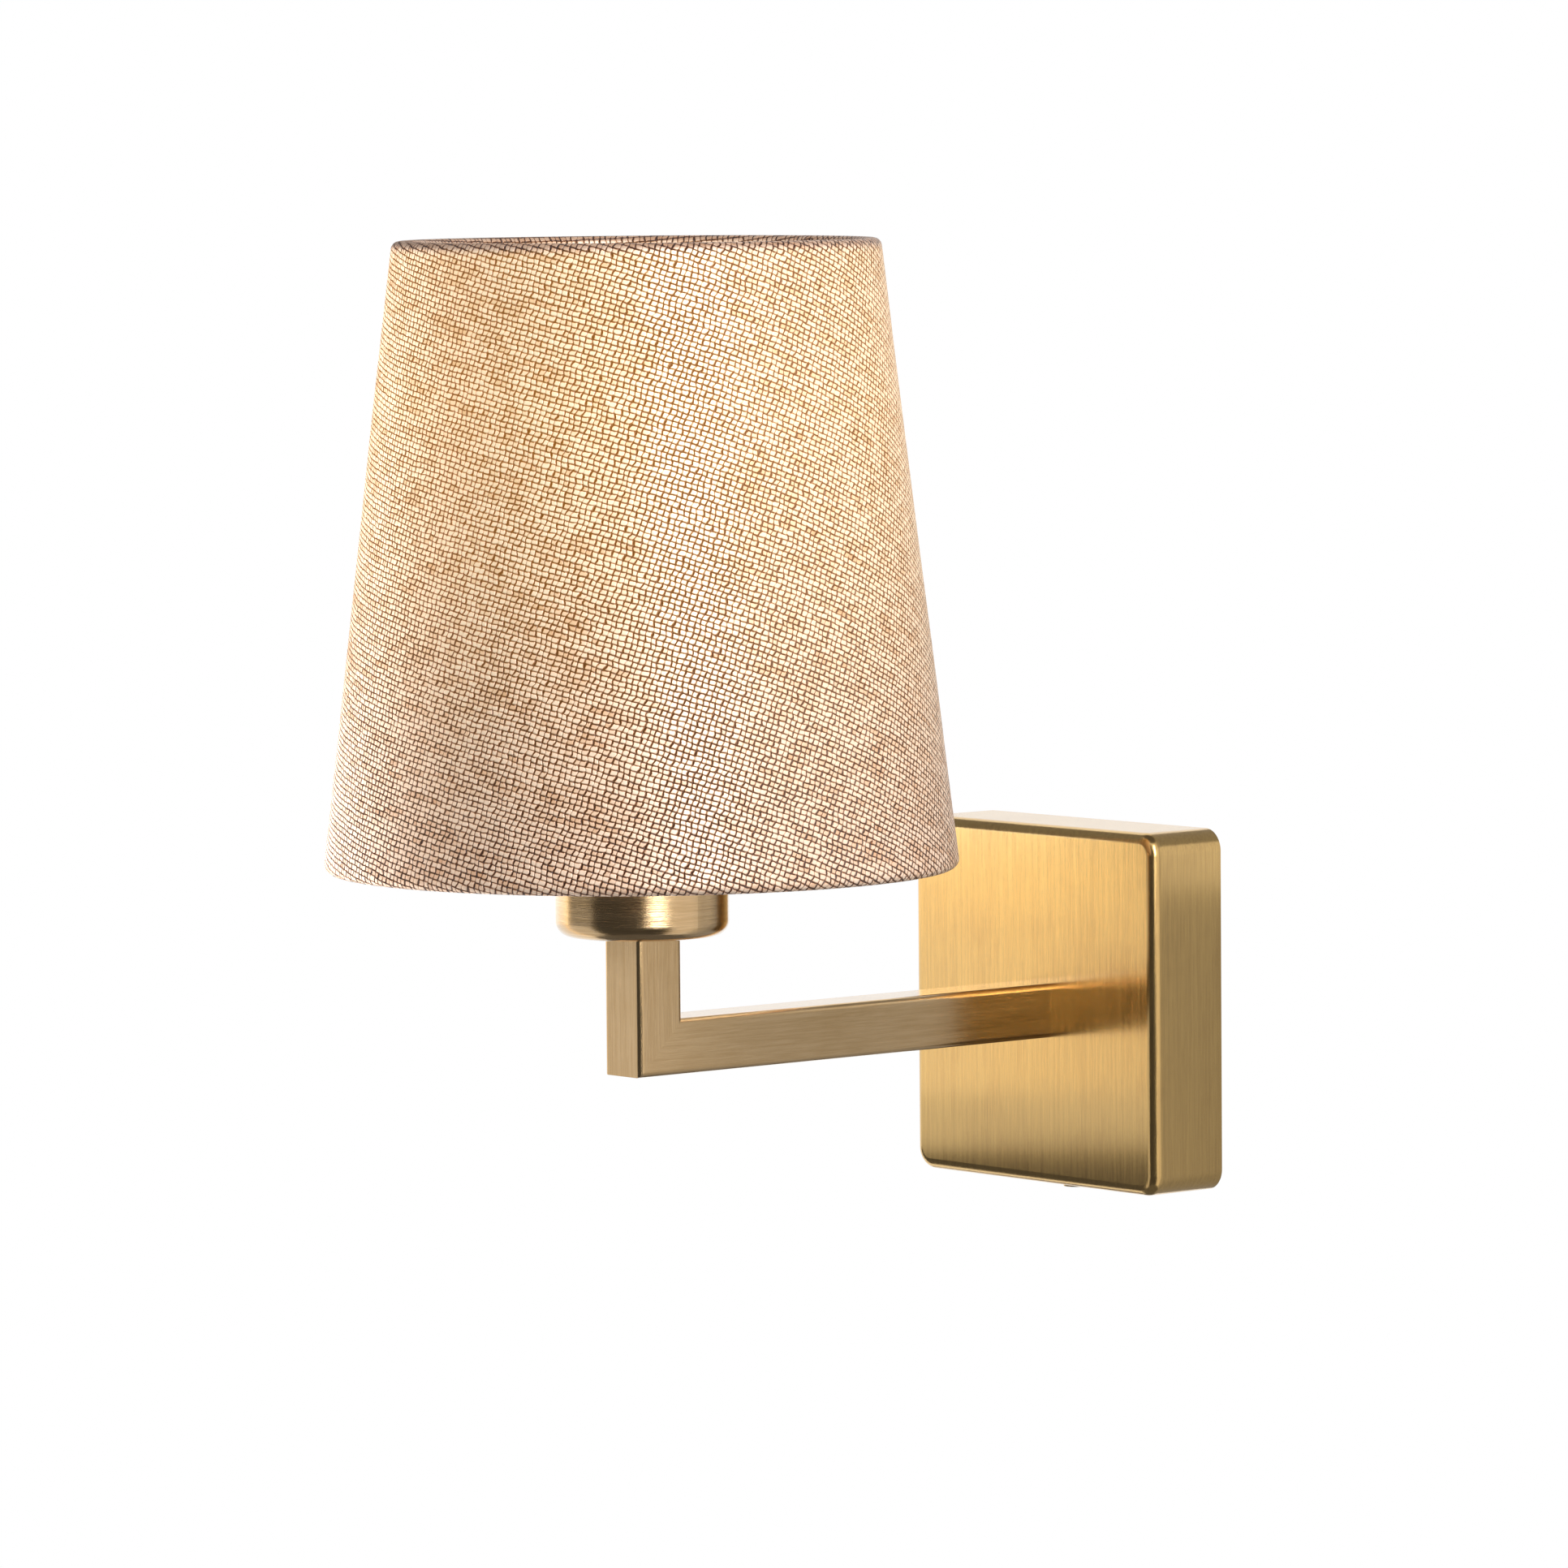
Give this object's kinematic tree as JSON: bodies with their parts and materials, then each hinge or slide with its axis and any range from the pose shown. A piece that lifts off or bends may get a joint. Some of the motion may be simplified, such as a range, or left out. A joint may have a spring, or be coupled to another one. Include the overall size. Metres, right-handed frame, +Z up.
{
  "type": "fabric shade wall light",
  "caption": "Wall light with a square brass plate, a square-tube arm, and a tapered linen shade over an upright lamp.",
  "frame": {"origin": "middle of the wall plate, on the wall face", "axes": "+Y into the wall, +Z up, +X to the right facing the wall"},
  "size_m": [0.1694, 0.2492, 0.2664],
  "materials": {
    "brushed_brass": "satin brushed antique brass, lacquered",
    "brass_screw": "satin",
    "raw_brass": "machined",
    "zinc_steel": "zinc plated",
    "tinned_copper": "tinned",
    "terminal_plastic": "moulded",
    "grommet_rubber": "matt",
    "bush_plastic": "moulded",
    "earth_insulation": "green and yellow insulation",
    "live_insulation": "brown insulation",
    "neutral_insulation": "blue insulation",
    "holder_plastic": "moulded",
    "holder_ceramic": "glazed",
    "shade_linen": "coarse plain-weave linen on a stiff liner",
    "shade_lining": "translucent white liner",
    "frame_wire": "white coated wire",
    "opal_glass": "opal, frosted",
    "lamp_cap": "nickel plated",
    "cap_insulator": "black glass",
    "stem_glass": "clear",
    "filament": "phosphor coated"
  },
  "bodies": {
    "wall_mount": {"wall_plate": "brushed_brass", "cover_hook": "zinc_steel", "wall_bracket": "zinc_steel", "cover_screw": "brass_screw", "cable_grommet": "grommet_rubber", "terminal_block": "terminal_plastic", "terminal_sleeves": "raw_brass", "terminal_screws": "zinc_steel", "terminal_fixing_screws": "zinc_steel", "earth_screw": "zinc_steel", "earth_ring_tag": "tinned_copper", "earth_wire": "earth_insulation", "arm_tube": "brushed_brass", "arm_upright": "brushed_brass", "arm_end_plug": "raw_brass", "arm_nipple": "zinc_steel", "arm_lock_washer": "zinc_steel", "arm_lock_nut": "zinc_steel", "nipple_bush": "bush_plastic", "upright_end_plug": "raw_brass", "cup_nipple": "zinc_steel", "lamp_cup": "brushed_brass", "cup_washer": "zinc_steel", "cup_nut": "zinc_steel", "holder_base": "holder_plastic", "holder_shell": "holder_plastic", "holder_insert": "holder_ceramic", "holder_terminals": "raw_brass", "holder_screw_shell": "raw_brass", "holder_centre_contact": "raw_brass", "live_wire": "live_insulation", "neutral_wire": "neutral_insulation"},
    "shade": {"shade_fabric": "shade_linen", "shade_liner": "shade_lining", "top_wire_ring": "frame_wire", "bottom_wire_ring": "frame_wire", "spider_arms": "frame_wire", "fitter_washer": "frame_wire"},
    "ring": {"shade_ring": "holder_plastic"},
    "lamp": {"bulb_glass": "opal_glass", "bulb_cap": "lamp_cap", "bulb_insulator": "cap_insulator", "bulb_contact": "tinned_copper", "bulb_stem": "stem_glass", "bulb_supports": "frame_wire", "bulb_filaments": "filament"}
  },
  "joints": [
    {"name": "shade_turn", "type": "hinge", "parent": "wall_mount", "child": "shade", "pos_m": [0, -0.1645, 0.0605], "axis": [0, 0, 1], "continuous": true},
    {"name": "ring_turn", "type": "hinge", "parent": "wall_mount", "child": "ring", "pos_m": [0, -0.1645, 0.062], "axis": [0, 0, 1], "continuous": true},
    {"name": "lamp_remove", "type": "slide", "parent": "wall_mount", "child": "lamp", "axis": [0, 0, 1], "range_m": [0, 0.16]}
  ]
}
